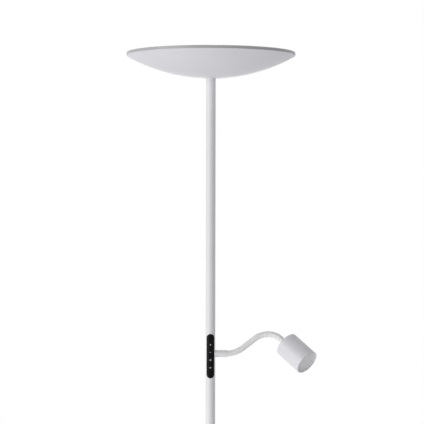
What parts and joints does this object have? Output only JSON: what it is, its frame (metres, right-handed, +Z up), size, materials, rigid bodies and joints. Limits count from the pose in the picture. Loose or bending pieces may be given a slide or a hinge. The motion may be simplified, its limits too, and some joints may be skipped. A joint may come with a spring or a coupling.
{
  "type": "floor lamp",
  "caption": "Torchiere floor lamp with an uplight dish, a slim pole with a touch strip and a small reading light on a bendable neck.",
  "frame": {"origin": "on the floor, on the pole's axis", "axes": "+Z up along the pole, -Y towards the front where the touch strip faces, +X towards the side on which the reading light's arm leaves the pole"},
  "size_m": [0.3139, 0.28, 1.76],
  "materials": {
    "felt": "matte",
    "iron": "matte",
    "white_paint": "satin",
    "neck_steel": "satin",
    "black_plastic": "satin",
    "white_plastic": "satin",
    "zinc_steel": "satin",
    "circuit_board": "satin",
    "copper_pads": "satin",
    "panel_black": "gloss",
    "bare_aluminium": "satin",
    "lamp_board": "satin",
    "phosphor": "matte",
    "mirror_plastic": "gloss",
    "opal_plastic": "satin",
    "frosted_plastic": "satin"
  },
  "bodies": {
    "stand": {"arm_collar": "white_paint", "arm_nut": "zinc_steel", "base_cover": "white_paint", "base_nipple": "zinc_steel", "base_nut": "zinc_steel", "base_pad": "felt", "base_washer": "zinc_steel", "base_weight": "iron", "control_board": "circuit_board", "control_carrier": "white_plastic", "cord_gland": "black_plastic", "dish_clips": "zinc_steel", "dish_diffuser": "opal_plastic", "dish_driver": "black_plastic", "dish_led_board": "lamp_board", "dish_led_chips": "phosphor", "dish_nut": "zinc_steel", "dish_plate": "bare_aluminium", "dish_posts": "zinc_steel", "dish_screws": "zinc_steel", "dish_shell": "white_paint", "dish_washer": "zinc_steel", "feed_lead": "white_plastic", "lower_joint_socket": "zinc_steel", "lower_joint_stud": "zinc_steel", "pole_foot": "zinc_steel", "pole_head_stud": "zinc_steel", "pole_lower": "white_paint", "pole_middle": "white_paint", "pole_upper": "white_paint", "reading_lead": "white_plastic", "supply_connector": "white_plastic", "touch_cover": "panel_black", "touch_pads": "copper_pads", "upper_joint_socket": "zinc_steel", "upper_joint_stud": "zinc_steel"},
    "neck_1": {"neck_link_01": "neck_steel"},
    "neck_2": {"neck_link_02": "neck_steel"},
    "neck_3": {"neck_link_03": "neck_steel"},
    "neck_4": {"neck_link_04": "neck_steel"},
    "neck_5": {"neck_link_05": "neck_steel"},
    "neck_6": {"neck_link_06": "neck_steel"},
    "neck_7": {"neck_link_07": "neck_steel"},
    "neck_8": {"neck_link_08": "neck_steel"},
    "neck_9": {"neck_link_09": "neck_steel"},
    "neck_10": {"neck_link_10": "neck_steel"},
    "neck_11": {"neck_link_11": "neck_steel"},
    "neck_12": {"neck_link_12": "neck_steel"},
    "neck_13": {"neck_link_13": "neck_steel"},
    "reading_head": {"neck_link_14": "neck_steel", "head_ferrule": "white_paint", "head_nut": "zinc_steel", "head_shell": "white_paint", "head_heat_sink": "bare_aluminium", "head_led_board": "lamp_board", "head_led_chip": "phosphor", "head_screws": "zinc_steel", "head_reflector": "mirror_plastic", "head_diffuser": "frosted_plastic", "head_ring": "bare_aluminium"}
  },
  "joints": [
    {"name": "neck_lift_01", "type": "hinge", "parent": "stand", "child": "neck_1", "pos_m": [0.029, 0, 1.2606], "axis": [0, -1, 0], "range_deg": [-15, 10], "deforming": ["reading_lead"]},
    {"name": "neck_swing_02", "type": "hinge", "parent": "neck_1", "child": "neck_2", "pos_m": [0.03679, 0, 1.26188], "axis": [-0.2423, 0, 0.9702], "range_deg": [-15, 15]},
    {"name": "neck_lift_03", "type": "hinge", "parent": "neck_2", "child": "neck_3", "pos_m": [0.04426, 0, 1.26441], "axis": [0, -1, 0], "range_deg": [-15, 10]},
    {"name": "neck_swing_04", "type": "hinge", "parent": "neck_3", "child": "neck_4", "pos_m": [0.05122, 0, 1.26812], "axis": [-0.5406, 0, 0.8413], "range_deg": [-15, 15]},
    {"name": "neck_lift_05", "type": "hinge", "parent": "neck_4", "child": "neck_5", "pos_m": [0.05749, 0, 1.27291], "axis": [0, -1, 0], "range_deg": [-15, 10]},
    {"name": "neck_swing_06", "type": "hinge", "parent": "neck_5", "child": "neck_6", "pos_m": [0.06376, 0, 1.27771], "axis": [-0.6074, 0, 0.7944], "range_deg": [-15, 15]},
    {"name": "neck_lift_07", "type": "hinge", "parent": "neck_6", "child": "neck_7", "pos_m": [0.07003, 0, 1.2825], "axis": [0, -1, 0], "range_deg": [-15, 10]},
    {"name": "neck_pan_08", "type": "hinge", "parent": "neck_7", "child": "neck_8", "pos_m": [0.07629, 0, 1.28729], "axis": [-0.5218, 0, 0.8531], "range_deg": [-12, 18]},
    {"name": "neck_tilt_09", "type": "hinge", "parent": "neck_8", "child": "neck_9", "pos_m": [0.08342, 0, 1.29069], "axis": [-0.0585, -0.9983, 0], "range_deg": [-8, 20]},
    {"name": "neck_pan_10", "type": "hinge", "parent": "neck_9", "child": "neck_10", "pos_m": [0.09103, -0.00086, 1.29254], "axis": [-0.1314, 0.0226, 0.9911], "range_deg": [-12, 18]},
    {"name": "neck_tilt_11", "type": "hinge", "parent": "neck_10", "child": "neck_11", "pos_m": [0.09872, -0.00263, 1.29278], "axis": [-0.2782, -0.9605, 0], "range_deg": [-8, 20]},
    {"name": "neck_pan_12", "type": "hinge", "parent": "neck_11", "child": "neck_12", "pos_m": [0.10605, -0.00521, 1.29138], "axis": [0.2573, -0.1068, 0.9604], "range_deg": [-12, 18]},
    {"name": "neck_tilt_13", "type": "hinge", "parent": "neck_12", "child": "neck_13", "pos_m": [0.11262, -0.0084, 1.28841], "axis": [-0.4838, -0.8752, 0], "range_deg": [-8, 20]},
    {"name": "neck_pan_14", "type": "hinge", "parent": "neck_13", "child": "reading_head", "pos_m": [0.11815, -0.0119, 1.284], "axis": [0.4553, -0.3258, 0.8286], "range_deg": [-12, 18]}
  ],
  "couplings": [
    {"joint": "neck_lift_03", "follows": "neck_lift_01", "ratio": 1},
    {"joint": "neck_swing_04", "follows": "neck_swing_02", "ratio": 1},
    {"joint": "neck_lift_05", "follows": "neck_lift_01", "ratio": 1},
    {"joint": "neck_swing_06", "follows": "neck_swing_02", "ratio": 1},
    {"joint": "neck_lift_07", "follows": "neck_lift_01", "ratio": 1},
    {"joint": "neck_pan_10", "follows": "neck_pan_08", "ratio": 1},
    {"joint": "neck_tilt_11", "follows": "neck_tilt_09", "ratio": 1},
    {"joint": "neck_pan_12", "follows": "neck_pan_08", "ratio": 1},
    {"joint": "neck_tilt_13", "follows": "neck_tilt_09", "ratio": 1},
    {"joint": "neck_pan_14", "follows": "neck_pan_08", "ratio": 1}
  ]
}
